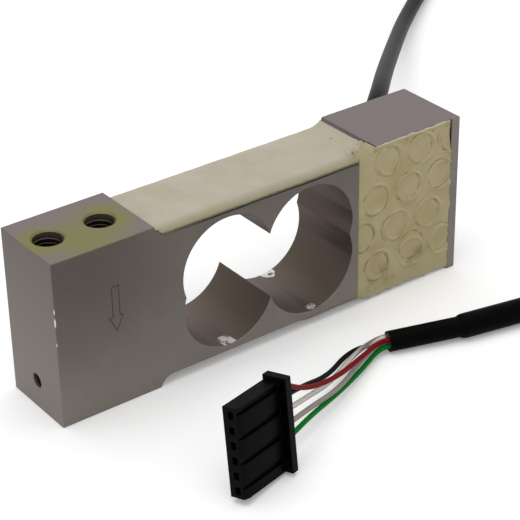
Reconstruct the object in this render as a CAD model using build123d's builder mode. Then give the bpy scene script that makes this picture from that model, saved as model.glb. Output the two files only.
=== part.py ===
"""Single-point weighing load cell: a machined bar with a four-bore opening, potted
strain gauges, a potted side pocket, and a lead that ends in a six-way connector.

Millimetres. The origin is at the middle of the bar's underside. +X runs along the
bar to the end where the cable leaves, -Y is the face with the pocket, +Z is up.
"""
import math
import os

from build123d import *

# The bar
length = 83.0
width = 15.0
height = 30.0
live_block = 18.8
fixed_block = 18.8
recess_depth = 1.8
cutter_radius = 2.5

# The opening: four bores that break into one another, under the thin walls that bend
bore_diameter = 18.0
bore_spacing_x = 17.0
thin_wall = 1.2

# The pocket in the front face of the fixed end
pocket_depth = 2.4
pocket_end_wall = 1.8
pocket_reach = 3.8

# Mounting holes: M5 in the blocks, M2.5 in the live end's face, at their thread sizes
bolt_hole = 5.0
bolt_chamfer = 5.6
bolt_depth = 12.0
bolt_edge = 4.1
bolt_spacing = 9.5
stop_hole = 2.5
stop_chamfer = 2.8
stop_depth = 7.0
stop_height = 5.2
chamfer_angle = 90.0

# Strain gauges, solder terminals and the fine wires between them
gauge_length = 7.0
gauge_width = 5.0
gauge_thickness = 0.1
tab_length = 1.2
tab_width = 1.5
tab_gap = 0.6
tab_thickness = 0.1
terminal_length = 4.0
terminal_width = 6.0
terminal_thickness = 0.55
jumper_diameter = 0.2
lead_width = 0.35
lead_thickness = 0.15
lead_spacing = 0.6
lead_entry = 4.6
leads = 3

# Silicone over the gauges and in the pocket
potting_crown = 0.8
potting_edge = 0.4
potting_shoulder = 2.2
potting_climb = 1.7
potting_climb_run = 3.4
pocket_potting_base = 0.4
pocket_potting_skin = 0.15
pocket_potting_round = 0.5
ring_outer = 5.8
ring_inner = 5.1
ring_pitch = 7.35
ring_row_pitch = 6.6
ring_first_height = 6.6
ring_row_offsets = (4.8, 1.5, 4.1, 7.0)
ring_columns = 4

# The compensation board in the pocket, its resistors and the cable's core tails
board_length = 13.0
board_height = 14.0
board_thickness = 0.8
board_base = 4.0
board_left_gap = 1.2
resistor_length = 3.2
resistor_width = 1.6
resistor_height = 0.5
resistor_side_edge = 3.9
resistor_first_row = 2.8
resistor_row_pitch = 3.5
tails = 5
tail_diameter = 0.6
tail_spacing = 0.64
tail_pad_pitch = 2.4
tail_overlap = 1.5

# The cable, the shrink sleeve and the five cores
jacket_diameter = 3.5
jacket_clearance = 0.15
exit_end_gap = 3.8
exit_height = 21.5
sleeve_wall = 0.4
sleeve_nose_diameter = 3.6
sleeve_nose_wall = 0.35
sleeve_body_length = 19.0
core_diameter = 0.85
core_ring_radius = 0.9
core_lead_in = 1.9
core_run = 3.7
core_straight = 0.8

# The connector: six crimp positions in a row
positions = 6
position_pitch = 2.5
first_position = 1.25
housing_row = 15.05
housing_thickness = 2.9
housing_depth = 10.1
flange_depth = 1.4
flange_rise = 0.9
flange_proud = 1.4
cavity_row = 1.9
cavity_thickness = 1.6
mating_wall = 1.0
pin_hole_row = 1.2
pin_hole_thickness = 0.9
slot_width = 1.0
slot_depth = 0.5
slot_pitch = 4.05
first_slot = 2.25
slots = 4
mating_chamfer = 0.4
mating_chamfer_run = 0.8
window_row = 2.6
window_pitch = 3.8
first_window = 3.3
windows = 4
window_back_wall = 0.4
window_side_wall = 0.4
window_rim = 0.6
crimp_wall = 0.2
contact_clearance = 0.1
contact_length = 4.4
barrel_length = 2.4
neck_length = 0.6

# Where the sleeve lies on the table: the middle of its shoulder and the mouth of its nose
shoulder_x = 26.8
shoulder_y = -26.4
nose_mouth = Vector(13.7, -21.87, 1.82)

# Where the connector lies: its lower mating corner, and the way its row leans
connector_foot = (-31.63, -39.13, 0.92)
connector_depth_way = (0.954, 0.291, -0.078)
connector_row_way = (0.033, 0.159, 0.987)

# How much of the shorter run each arc of a cord takes up
arc_share = 0.45

# Heights and places that follow from the sizes above
front = -width / 2
back = width / 2
live_face = -length / 2
fixed_face = length / 2
recess_left = live_face + live_block
recess_right = fixed_face - fixed_block
recess_middle = (recess_left + recess_right) / 2
recess_top = height - recess_depth
bore_spacing_z = recess_top - recess_depth - 2 * thin_wall - bore_diameter
pocket_floor = front + pocket_depth
pocket_left = recess_right - pocket_reach
pocket_right = fixed_face - pocket_end_wall
pocket_middle = (pocket_left + pocket_right) / 2
pocket_front = front + pocket_potting_skin
board_left = recess_right + board_left_gap
board_right = board_left + board_length
board_middle = board_left + board_length / 2
board_top = board_base + board_height
board_face = pocket_floor - board_thickness
exit_x = fixed_face - exit_end_gap


def save(builder, name):
    """Label a finished piece and write it to its own file."""
    builder.part.label = name
    export_step(builder.part, f"parts/{name}.step")


def corner_radii(points):
    """The largest tangent arc at each corner of a cord's route."""
    radii = []
    for before, corner, after in zip(points, points[1:], points[2:]):
        run_in = Vector(corner) - Vector(before)
        run_out = Vector(after) - Vector(corner)
        half_turn = math.radians(run_in.get_angle(run_out) / 2)
        shorter = min(run_in.length, run_out.length)
        radii.append(arc_share * shorter / math.tan(half_turn))
    return radii


def cord(points, diameter):
    """A round cord along straight runs joined by tangent arcs."""
    radii = corner_radii(points)
    with BuildPart() as tube:
        with BuildLine() as route:
            FilletPolyline(*points, radius=radii)
        with BuildSketch(Plane(origin=route.line @ 0, z_dir=route.line % 0)):
            Circle(diameter / 2)
        sweep()
    expected = math.pi * diameter**2 / 4 * route.wire().length
    print(f"length {route.wire().length:.1f}, volume ratio {tube.part.volume / expected:.4f},",
          "radii", [round(radius, 1) for radius in radii])
    return tube


def fine_wires(routes, diameter):
    """Several thin wires with mitred corners, each a separate solid of one piece."""
    with BuildPart() as wires:
        for points in routes:
            with BuildLine() as route:
                Polyline(*points)
            with BuildSketch(Plane(origin=route.line @ 0, z_dir=route.line % 0)):
                Circle(diameter / 2)
            sweep(path=route.wire(), transition=Transition.RIGHT)
    return wires


os.makedirs("parts", exist_ok=True)

# The bar is one milled block: profile, opening, pocket, then the drilled holes
with BuildPart() as spring_element:
    with BuildSketch(Plane.XZ):
        with Locations((0, height / 2)):
            Rectangle(length, height)
        cutter_reach = recess_depth + 2 * cutter_radius
        with Locations(
            (recess_middle, recess_depth - cutter_reach / 2),
            (recess_middle, recess_top + cutter_reach / 2),
        ):
            RectangleRounded(recess_right - recess_left, cutter_reach, cutter_radius, mode=Mode.SUBTRACT)
    extrude(amount=width / 2, both=True)
    with BuildSketch(Plane.XZ):
        with Locations((recess_middle, height / 2)):
            with GridLocations(bore_spacing_x, bore_spacing_z, 2, 2):
                Circle(bore_diameter / 2)
            Rectangle(bore_spacing_x, bore_spacing_z)
    extrude(amount=width / 2, both=True, mode=Mode.SUBTRACT)
    with BuildSketch(Plane.XZ.offset(width / 2)):
        with Locations((pocket_middle, height / 2)):
            Rectangle(pocket_right - pocket_left, height)
    extrude(amount=-pocket_depth, mode=Mode.SUBTRACT)
    with BuildSketch(Plane.XZ.offset(-width / 2)):
        with Locations((exit_x, exit_height)):
            Circle(jacket_diameter / 2 + jacket_clearance)
    extrude(amount=width, mode=Mode.SUBTRACT)
    with Locations(Plane.XY.offset(height)):
        with Locations((live_face + bolt_edge, 0), (live_face + bolt_edge + bolt_spacing, 0)):
            CounterSinkHole(bolt_hole / 2, bolt_chamfer / 2, bolt_depth, chamfer_angle)
    with Locations(Plane(origin=(0, 0, 0), x_dir=(1, 0, 0), z_dir=(0, 0, -1))):
        with Locations((fixed_face - bolt_edge, 0), (fixed_face - bolt_edge - bolt_spacing, 0)):
            CounterSinkHole(bolt_hole / 2, bolt_chamfer / 2, bolt_depth, chamfer_angle)
    with Locations(Plane(origin=(live_face, 0, stop_height), z_dir=(-1, 0, 0))):
        CounterSinkHole(stop_hole / 2, stop_chamfer / 2, stop_depth, chamfer_angle)
save(spring_element, "spring_element")


def gauge(centre_x, base, outward):
    """One foil gauge with its two solder tabs, outward +1 on the top and -1 below."""
    inner = 1 if centre_x < recess_middle else -1
    tab_x = centre_x + inner * (gauge_length / 2 - tab_length / 2)
    tab_offset = tab_gap / 2 + tab_width / 2
    with BuildPart() as foil:
        with BuildSketch(Plane.XY.offset(base)):
            with Locations((centre_x, 0)):
                Rectangle(gauge_length, gauge_width)
        extrude(amount=outward * gauge_thickness)
        with BuildSketch(Plane.XY.offset(base + outward * gauge_thickness)):
            with Locations((tab_x, -tab_offset), (tab_x, tab_offset)):
                Rectangle(tab_length, tab_width)
        extrude(amount=outward * tab_thickness)
    return foil


def solder_terminal(base, outward):
    """The bonded strip between two gauges where their wires are joined."""
    with BuildPart() as strip:
        with BuildSketch(Plane.XY.offset(base)):
            with Locations((recess_middle, 0)):
                Rectangle(terminal_length, terminal_width)
        extrude(amount=outward * terminal_thickness)
    return strip


def jumpers(base, outward):
    """Four straight wires from the gauges' tabs to the solder terminal."""
    level = base + outward * (gauge_thickness + tab_thickness / 2)
    offset = tab_gap / 2 + tab_width / 2
    tab_end = bore_spacing_x / 2 - gauge_length / 2
    routes = []
    for side in (-1, 1):
        for y in (-offset, offset):
            start = (recess_middle + side * terminal_length / 2, y, level)
            end = (recess_middle + side * tab_end, y, level)
            routes.append((start, end))
    return fine_wires(routes, jumper_diameter)


def gauge_leads(base, outward, entry):
    """Flat ribbons from a solder terminal along the bar, folded over its edge to the board."""
    level = base + outward * (terminal_thickness - lead_thickness / 2)
    depth_y = board_face + board_thickness / 2
    with BuildPart() as ribbons:
        for index in range(leads):
            y = -lead_spacing * (index + 1)
            x = pocket_left + lead_spacing * (leads - index)
            z = entry + outward * lead_spacing * (leads - index)
            start = (recess_middle + terminal_length / 2, y, level)
            bends = ((x, y, level), (x, depth_y, level), (x, depth_y, z))
            with BuildLine() as route:
                Polyline(start, *bends, (board_left, depth_y, z))
            with BuildSketch(Plane(origin=start, x_dir=(0, 1, 0), z_dir=(1, 0, 0))):
                Rectangle(lead_width, lead_thickness)
            sweep(path=route.wire(), transition=Transition.RIGHT)
    return ribbons


gauge_places = {
    "live": recess_middle - bore_spacing_x / 2,
    "fixed": recess_middle + bore_spacing_x / 2,
}
gauges = {}
for end, centre_x in gauge_places.items():
    gauges[f"strain_gauge_top_{end}"] = gauge(centre_x, recess_top, 1)
    gauges[f"strain_gauge_bottom_{end}"] = gauge(centre_x, recess_depth, -1)
for name, foil in gauges.items():
    save(foil, name)

solder_terminal_top = solder_terminal(recess_top, 1)
save(solder_terminal_top, "solder_terminal_top")
solder_terminal_bottom = solder_terminal(recess_depth, -1)
save(solder_terminal_bottom, "solder_terminal_bottom")
jumper_wires_top = jumpers(recess_top, 1)
save(jumper_wires_top, "jumper_wires_top")
jumper_wires_bottom = jumpers(recess_depth, -1)
save(jumper_wires_bottom, "jumper_wires_bottom")
gauge_leads_top = gauge_leads(recess_top, 1, board_top - lead_entry)
save(gauge_leads_top, "gauge_leads_top")
gauge_leads_bottom = gauge_leads(recess_depth, -1, board_base + lead_entry)
save(gauge_leads_bottom, "gauge_leads_bottom")

# The board lies on the pocket's floor
with BuildPart() as compensation_board:
    with BuildSketch(Plane.XZ.offset(-pocket_floor)):
        with Locations((board_middle, board_base + board_height / 2)):
            Rectangle(board_length, board_height)
    extrude(amount=board_thickness)
save(compensation_board, "compensation_board")


def chip_resistors(places):
    """Chip resistors soldered to the board's front, centred at these (x, z)."""
    with BuildPart() as chips:
        with BuildSketch(Plane.XZ.offset(-board_face)):
            with Locations(*places):
                Rectangle(resistor_length, resistor_width)
        extrude(amount=resistor_height)
    return chips


resistor_left = board_left + resistor_side_edge
resistor_right = board_right - resistor_side_edge
lower_row = board_base + resistor_first_row
upper_row = lower_row + resistor_row_pitch
zero_trim_resistor = chip_resistors([(resistor_left, lower_row)])
save(zero_trim_resistor, "zero_trim_resistor")
span_trim_resistors = chip_resistors([(resistor_left, upper_row), (resistor_right, upper_row)])
save(span_trim_resistors, "span_trim_resistors")
temperature_resistor = chip_resistors([(resistor_right, lower_row)])
save(temperature_resistor, "temperature_resistor")

# The cores' tails fan out from the cable's end to the board's upper edge
tail_face = board_face - tail_diameter / 2
tail_routes = []
for index in range(tails):
    step = index - (tails - 1) / 2
    start_x = exit_x + step * tail_spacing
    pad_x = board_middle + step * tail_pad_pitch
    tail_routes.append(
        (
            (start_x, pocket_floor, exit_height),
            (start_x, tail_face, exit_height),
            (pad_x, tail_face, board_top - tail_overlap),
        )
    )
cable_core_tails = fine_wires(tail_routes, tail_diameter)
save(cable_core_tails, "cable_core_tails")


def gauge_potting(base, outward, buried):
    """A domed strip of silicone over the gauges, higher where it meets the fixed block."""
    section_plane = Plane(origin=(recess_left, 0, base), x_dir=(0, 1, 0), z_dir=(1, 0, 0))
    crown = outward * potting_crown
    edge = outward * potting_edge
    climb = outward * potting_climb
    shoulder = width / 2 - potting_shoulder
    with BuildPart() as strip:
        with BuildSketch(section_plane):
            with BuildLine():
                Polyline((-width / 2, edge), (-width / 2, 0), (width / 2, 0), (width / 2, edge))
                TangentArc((shoulder, crown), (width / 2, edge), tangent=(1, 0))
                Line((shoulder, crown), (-shoulder, crown))
                TangentArc((-shoulder, crown), (-width / 2, edge), tangent=(-1, 0))
            make_face()
        extrude(amount=recess_right - recess_left)
        with BuildSketch(Plane.XZ):
            with BuildLine():
                foot = (recess_right - potting_climb_run, base + edge)
                top = (recess_right, base + climb)
                Polyline(top, (recess_right, base), (foot[0], base), foot)
                TangentArc(foot, top, tangent=(1, 0))
            make_face()
        extrude(amount=width / 2, both=True)
        with BuildSketch(Plane.XZ.offset(width / 2)):
            with Locations((pocket_middle, height / 2)):
                Rectangle(pocket_right - pocket_left, height + 2 * potting_climb)
        extrude(amount=-pocket_depth, mode=Mode.SUBTRACT)
        add([spring_element.part, *[piece.part for piece in buried]], mode=Mode.SUBTRACT)
    return strip


top_gauge_potting = gauge_potting(
    recess_top,
    1,
    [
        gauges["strain_gauge_top_live"],
        gauges["strain_gauge_top_fixed"],
        solder_terminal_top,
        jumper_wires_top,
        gauge_leads_top,
    ],
)
save(top_gauge_potting, "top_gauge_potting")
bottom_gauge_potting = gauge_potting(
    recess_depth,
    -1,
    [
        gauges["strain_gauge_bottom_live"],
        gauges["strain_gauge_bottom_fixed"],
        solder_terminal_bottom,
        jumper_wires_bottom,
        gauge_leads_bottom,
    ],
)
save(bottom_gauge_potting, "bottom_gauge_potting")

# The pocket's silicone is flush with the front, rounded at the top and bottom edges,
# cut back beside the two strips, and marked with rings in staggered rows
with BuildPart() as side_pocket_potting:
    with BuildSketch(Plane(origin=(pocket_left, 0, 0), x_dir=(0, 1, 0), z_dir=(1, 0, 0))):
        with Locations(((pocket_floor + pocket_front) / 2, (height + pocket_potting_base) / 2)):
            Rectangle(pocket_depth - pocket_potting_skin, height - pocket_potting_base)
    extrude(amount=pocket_right - pocket_left)
    long_edges = side_pocket_potting.edges().filter_by(Axis.X).group_by(Axis.Y)[0]
    fillet(long_edges, pocket_potting_round)
    with BuildSketch(Plane.XZ.offset(-pocket_floor)):
        for outer, inner in ((height, recess_top + potting_crown), (0, recess_depth - potting_edge)):
            with BuildLine():
                Polyline(
                    (pocket_left, outer),
                    (pocket_left, inner),
                    (recess_right - potting_climb_run, inner),
                    (recess_right, outer),
                    close=True,
                )
            make_face()
    extrude(amount=pocket_depth, mode=Mode.SUBTRACT)
    with BuildSketch(Plane.XZ.offset(-pocket_front)):
        for row, offset in enumerate(ring_row_offsets):
            for column in range(ring_columns):
                ring_x = pocket_left + offset + column * ring_pitch
                with Locations((ring_x, ring_first_height + row * ring_row_pitch)):
                    Circle(ring_outer / 2)
                    Circle(ring_inner / 2, mode=Mode.SUBTRACT)
        ring_top = height - pocket_potting_round
        ring_base = pocket_potting_base + pocket_potting_round
        with Locations((pocket_middle, (ring_base + ring_top) / 2)):
            Rectangle(pocket_right - pocket_left, ring_top - ring_base, mode=Mode.INTERSECT)
    extrude(amount=pocket_potting_skin)
    buried = (
        compensation_board,
        zero_trim_resistor,
        span_trim_resistors,
        temperature_resistor,
        cable_core_tails,
        gauge_leads_top,
        gauge_leads_bottom,
    )
    add([piece.part for piece in buried], mode=Mode.SUBTRACT)
save(side_pocket_potting, "side_pocket_potting")

# The cable leaves the back of the fixed end, comes down to the table in a long slope
# and loops round to the front, where the shrink sleeve closes its end
rest = jacket_diameter / 2
sleeve_radius = rest + sleeve_wall
shoulder_point = Vector(shoulder_x, shoulder_y, sleeve_radius)
jacket_points = [
    (exit_x, pocket_floor, exit_height),
    (exit_x, 12.8, exit_height),
    (46.5, 20.3, 22.6),
    (61.5, 36.3, 17.3),
    (85.2, 60.6, 9.0),
    (105.8, 80.8, 3.2),
    (134.5, 103.0, rest),
    (164.5, 105.0, rest),
    (188.5, 87.0, rest),
    (196.5, 57.0, rest),
    (184.5, 27.0, rest),
    (157.5, 3.0, rest),
    (122.5, -15.0, rest),
    (87.5, -28.0, rest),
    (54.5, -32.2, shoulder_point.Z),
    tuple(shoulder_point),
]
cable_jacket = cord(jacket_points, jacket_diameter)
save(cable_jacket, "cable_jacket")

# The sleeve's body grips the jacket; past the rounded shoulder its nose grips the cores
nose_way = (nose_mouth - shoulder_point).normalized()
nose_length = (nose_mouth - shoulder_point).length
body_way = (Vector(jacket_points[-2]) - shoulder_point).normalized()
body_plane = Plane(origin=shoulder_point, z_dir=body_way)
nose_plane = Plane(origin=shoulder_point, z_dir=nose_way)
with BuildPart() as heat_shrink_sleeve:
    with BuildSketch(body_plane):
        Circle(sleeve_radius)
    extrude(amount=sleeve_body_length)
    with Locations(shoulder_point):
        Sphere(sleeve_radius)
    with BuildSketch(nose_plane):
        Circle(sleeve_nose_diameter / 2)
    extrude(amount=nose_length)
    with BuildSketch(body_plane):
        Circle(jacket_diameter / 2)
    extrude(amount=sleeve_body_length, mode=Mode.SUBTRACT)
    with BuildSketch(nose_plane):
        Circle(sleeve_nose_diameter / 2 - sleeve_nose_wall)
    extrude(amount=nose_length, mode=Mode.SUBTRACT)
save(heat_shrink_sleeve, "heat_shrink_sleeve")

# The connector's frame: +X goes in from the mating face, +Z up its row of positions
connector = Plane(origin=connector_foot, x_dir=connector_depth_way, z_dir=connector_row_way)
cavity_centre = -housing_thickness / 2
flange_back = housing_depth + flange_depth


def across(depth):
    """A sketch plane across the connector, depth in from the mating face."""
    origin = connector.from_local_coords((depth, 0, 0))
    return Plane(origin=origin, x_dir=connector.y_dir, z_dir=connector.x_dir)


position_heights = [first_position + index * position_pitch for index in range(positions)]
slot_heights = [first_slot + index * slot_pitch for index in range(slots)]
window_heights = [first_window + index * window_pitch for index in range(windows)]
flange_row = housing_row + flange_rise
flange_thickness = housing_thickness + flange_proud
with BuildPart() as connector_housing:
    with BuildSketch(connector):
        with BuildLine():
            Polyline(
                (0, 0),
                (0, -housing_thickness + mating_chamfer),
                (mating_chamfer_run, -housing_thickness),
                (housing_depth, -housing_thickness),
                (housing_depth, 0),
                close=True,
            )
        make_face()
    extrude(amount=housing_row)
    with BuildSketch(across(housing_depth)):
        with Locations((-flange_thickness / 2, flange_row / 2)):
            Rectangle(flange_thickness, flange_row)
    extrude(amount=flange_depth)
    with BuildSketch(across(mating_wall)):
        with Locations(*[(cavity_centre, row) for row in position_heights]):
            Rectangle(cavity_thickness, cavity_row)
    extrude(amount=flange_back - mating_wall, mode=Mode.SUBTRACT)
    with BuildSketch(across(0)):
        with Locations(*[(cavity_centre, row) for row in position_heights]):
            Rectangle(pin_hole_thickness, pin_hole_row)
    extrude(amount=mating_wall, mode=Mode.SUBTRACT)
    with BuildSketch(across(0)):
        with Locations(*[(-housing_thickness + slot_depth / 2, row) for row in slot_heights]):
            Rectangle(slot_depth, slot_width)
    extrude(amount=housing_depth, mode=Mode.SUBTRACT)
    with BuildSketch(across(housing_depth)):
        window_thickness = flange_proud - window_side_wall
        window_centre = -housing_thickness - window_thickness / 2
        with Locations(*[(window_centre, row) for row in window_heights]):
            Rectangle(window_thickness, window_row)
        with Locations((window_centre, (flange_row - window_rim) / 2)):
            Rectangle(window_thickness, flange_row - window_rim, mode=Mode.INTERSECT)
    extrude(amount=flange_depth - window_back_wall, mode=Mode.SUBTRACT)
save(connector_housing, "connector_housing")

# Each crimp contact: a square socket, a neck, and a barrel closed on its core
barrel_start = mating_wall + contact_clearance + contact_length + neck_length
barrel_outer = core_diameter / 2 + crimp_wall
socket_thickness = cavity_thickness - 2 * contact_clearance
socket_row = cavity_row - 2 * contact_clearance
neck_side = cavity_centre + socket_thickness / 2


def crimp_contact(row):
    """One contact in the cavity at this height along the row."""
    with BuildPart() as contact:
        with BuildSketch(across(mating_wall + contact_clearance)):
            with Locations((cavity_centre, row)):
                Rectangle(socket_thickness, socket_row)
                Rectangle(
                    socket_thickness - 2 * crimp_wall,
                    socket_row - 2 * crimp_wall,
                    mode=Mode.SUBTRACT,
                )
        extrude(amount=contact_length)
        with BuildSketch(across(barrel_start)):
            with Locations((cavity_centre, row)):
                Circle(barrel_outer)
                Circle(core_diameter / 2, mode=Mode.SUBTRACT)
        extrude(amount=barrel_length)
        with BuildSketch(across(mating_wall + contact_clearance + contact_length - crimp_wall)):
            with Locations((neck_side - crimp_wall / 2, row)):
                Rectangle(crimp_wall, core_diameter)
        extrude(amount=crimp_wall + neck_length + barrel_length / 2)
        with BuildSketch(across(barrel_start)):
            with Locations((cavity_centre, row)):
                Circle(core_diameter / 2)
        extrude(amount=barrel_length, mode=Mode.SUBTRACT)
    return contact


# The five cores, from the connector's top position down, and their places in the nose:
# the angle round the nose's axis from its front side, and the route between
nose_front = Vector(-nose_way.Y, nose_way.X, 0).normalized()
nose_up = nose_way.cross(nose_front)
cores = {
    "red": (50, core_ring_radius, [(-11.8, -32.2, 8.2), (-3.0, -28.8, 5.1), (5.1, -24.9, 3.5)]),
    "black": (205, core_ring_radius, [(-11.4, -30.4, 7.7), (-3.1, -26.6, 4.2), (5.3, -21.5, 2.9)]),
    "clear": (125, core_ring_radius, [(-11.2, -31.3, 6.0), (-2.9, -27.2, 3.3), (5.4, -22.8, 3.1)]),
    "white": (0, 0.0, [(-11.3, -32.0, 4.3), (-2.5, -28.8, 2.7), (5.3, -24.5, 2.2)]),
    "green": (-32, core_ring_radius, [(-11.2, -32.6, 3.4), (-2.7, -28.7, 1.8), (5.3, -24.9, 1.0)]),
}
core_start = barrel_start + contact_clearance
for index, (colour, (angle, radius, middle_points)) in enumerate(cores.items()):
    row = position_heights[-1 - index]
    contact = crimp_contact(row)
    save(contact, f"crimp_contact_{index + 1}")
    turn = math.radians(angle)
    seat = nose_mouth + nose_front * radius * math.cos(turn) + nose_up * radius * math.sin(turn)
    core_points = [
        tuple(connector.from_local_coords((core_start, cavity_centre, row))),
        tuple(connector.from_local_coords((flange_back + core_straight, cavity_centre, row))),
        *middle_points,
        tuple(seat + nose_way * core_lead_in),
        tuple(seat - nose_way * core_run),
    ]
    wire = cord(core_points, core_diameter)
    save(wire, f"wire_{colour}")
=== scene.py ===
import bmesh
import bpy
import math
from mathutils import Matrix, Vector, noise


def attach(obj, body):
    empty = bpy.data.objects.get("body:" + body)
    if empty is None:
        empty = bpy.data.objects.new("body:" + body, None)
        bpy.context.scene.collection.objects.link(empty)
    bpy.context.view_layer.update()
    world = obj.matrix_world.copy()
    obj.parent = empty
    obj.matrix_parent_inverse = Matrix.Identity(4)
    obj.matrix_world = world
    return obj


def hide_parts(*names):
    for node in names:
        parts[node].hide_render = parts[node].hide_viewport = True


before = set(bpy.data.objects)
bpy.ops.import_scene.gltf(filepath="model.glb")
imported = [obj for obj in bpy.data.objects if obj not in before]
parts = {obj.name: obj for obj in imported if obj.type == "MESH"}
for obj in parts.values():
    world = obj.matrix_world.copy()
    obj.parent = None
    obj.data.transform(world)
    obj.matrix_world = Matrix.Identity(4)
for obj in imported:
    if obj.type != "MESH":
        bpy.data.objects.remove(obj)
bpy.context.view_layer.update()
bpy.ops.object.select_all(action="DESELECT")

# The bar: one block of aluminium alloy, milled on every face, with four bores broken into
# one another and a recess along the top and the bottom. A clear chromate film leaves it a
# warm grey, with a yellow-green bloom where the film is thickest. Its top face is pinker with
# the film and lighter with painted light, and painted shade lies on its sides and in its bores.


def linear(code):
    """An sRGB hex colour as linear red, green, blue and alpha."""
    channels = [int(code[i:i + 2], 16) / 255 for i in (1, 3, 5)]
    return [c / 12.92 if c <= 0.04045 else ((c + 0.055) / 1.055) ** 2.4 for c in channels] + [1.0]


def new_material(name):
    """A material with its Principled shader and its Object coordinates."""
    made = bpy.data.materials.new(name)
    made.use_nodes = True
    coordinates = made.node_tree.nodes.new("ShaderNodeTexCoord")
    return made, made.node_tree.nodes["Principled BSDF"], coordinates.outputs["Object"]


def add(owner, kind, values, **settings):
    """One node: values fills its inputs with numbers, colours or other nodes' outputs."""
    made = owner.node_tree.nodes.new(kind)
    for key, value in settings.items():
        setattr(made, key, value)
    for key, value in values.items():
        if isinstance(value, bpy.types.NodeSocket):
            owner.node_tree.links.new(value, made.inputs[key])
        else:
            made.inputs[key].default_value = value
    return made


def measured(material, place):
    """A material's coordinates in millimetres, whole and split into X, Y and Z."""
    milli = add(material, "ShaderNodeVectorMath", {"Vector": place, "Scale": 1000.0}, operation="SCALE")
    split = add(material, "ShaderNodeSeparateXYZ", {"Vector": milli.outputs["Vector"]})
    return milli.outputs["Vector"], split.outputs


def surface_way(material):
    """The X, Y and Z of the way that the surface faces."""
    geometry = add(material, "ShaderNodeNewGeometry", {})
    return add(material, "ShaderNodeSeparateXYZ", {"Vector": geometry.outputs["Normal"]}).outputs


def zone(material, *limits):
    """A mask where all limits hold: each takes it from 0 at its first number to 1 at its second."""
    mask = 1.0
    for value, none, full in limits:
        step = add(material, "ShaderNodeMapRange", {"Value": value, "From Min": none, "From Max": full})
        mask = add(material, "ShaderNodeMath", {0: mask, 1: step.outputs["Result"]}, operation="MULTIPLY")
        mask = mask.outputs[0]
    return mask


def patches(material, value, *spots):
    """A mask of round patches, each full as far as its inner reach and gone at its outer one."""
    mask = 0.0
    for centre, inner, outer in spots:
        away = add(material, "ShaderNodeVectorMath", {0: value, 1: centre}, operation="DISTANCE")
        patch = zone(material, (away.outputs["Value"], outer, inner))
        mask = add(material, "ShaderNodeMath", {0: mask, 1: patch}, operation="MAXIMUM").outputs[0]
    return mask


def stain(material, below, code, strength, *masks):
    """Lays a colour over what is below it, at a strength, as far as the masks let it through."""
    for mask in masks:
        strength = add(material, "ShaderNodeMath", {0: strength, 1: mask}, operation="MULTIPLY").outputs[0]
    laid = add(material, "ShaderNodeMix", {
        "Factor": strength,
        "A": below,
        "B": linear(code),
    }, data_type="RGBA")
    return laid.outputs["Result"]


def give(material, *names):
    """Puts a material on CAD nodes."""
    for name in names:
        slots = parts[name].material_slots
        if slots:
            for slot in slots:
                slot.material = material
        else:
            parts[name].data.materials.append(material)


# Every pattern's scale is its features per metre, so 90 gives clouds 11 mm across and 700
# gives 1.4 mm. The film's clouds are of these two sizes.
metal, shader, place = new_material("chromated_aluminium")
milli, at = measured(metal, place)
facing = surface_way(metal)
cloud = add(metal, "ShaderNodeTexNoise", {"Vector": place, "Scale": 90.0, "Detail": 4.0, "Roughness": 0.6})
cloud = cloud.outputs["Fac"]
mottle = add(metal, "ShaderNodeTexNoise", {"Vector": place, "Scale": 700.0, "Detail": 4.0, "Roughness": 0.7})
mottle = mottle.outputs["Fac"]
bar_top = 30.0

# Painted shade on its long sides, over the film's own clouds: darkest at the top of the live end, and paler
# low down, toward the floor, and to the right.
paler = add(metal, "ShaderNodeMath", {
    0: zone(metal, (at["Z"], bar_top, 2.0)),
    1: zone(metal, (at["X"], 16.0, 40.0)),
}, operation="MAXIMUM")
shade = add(metal, "ShaderNodeMath", {0: paler.outputs[0], 1: 1.5, 2: cloud}, operation="MULTIPLY_ADD")
shade = add(metal, "ShaderNodeMath", {0: shade.outputs[0], 1: 0.5}, operation="MULTIPLY")
tone = add(metal, "ShaderNodeValToRGB", {"Fac": shade.outputs[0]})
tone.color_ramp.elements[0].position = 0.22
tone.color_ramp.elements[0].color = linear("#68625c")
tone.color_ramp.elements[1].position = 1.0
tone.color_ramp.elements[1].color = linear("#857e79")
# Painted shade: a darker patch on the front, at the top of the live end.
live_corner_shade = patches(metal, milli, ((-36.0, -7.5, 26.0), 3.0, 20.0))
front = zone(metal, (facing["Y"], -0.5, -0.8))
colour = stain(metal, tone.outputs["Color"], "#514b45", 0.4, live_corner_shade, front)
colour = stain(metal, colour, "#676552", 0.2, zone(metal, (mottle, 0.45, 0.8)))

# Painted shade on its end faces, from dark at the top to pale at the foot. Its top face is pinker with the
# film and lighter with painted light.
end_tone = add(metal, "ShaderNodeMix", {
    "Factor": zone(metal, (at["Z"], bar_top, 0.0)),
    "A": linear("#6c6460"),
    "B": linear("#857e79"),
}, data_type="RGBA")
endways = add(metal, "ShaderNodeMath", {0: facing["X"]}, operation="ABSOLUTE")
colour = add(metal, "ShaderNodeMix", {
    "Factor": zone(metal, (endways.outputs[0], 0.6, 0.9)),
    "A": colour,
    "B": end_tone.outputs["Result"],
}, data_type="RGBA").outputs["Result"]
# Painted light: the faces that look up get a lighter colour of their own, pinker with the film's tint.
colour = stain(metal, colour, "#7a706f", 1.0, zone(metal, (facing["Z"], 0.5, 0.95)))
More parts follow.
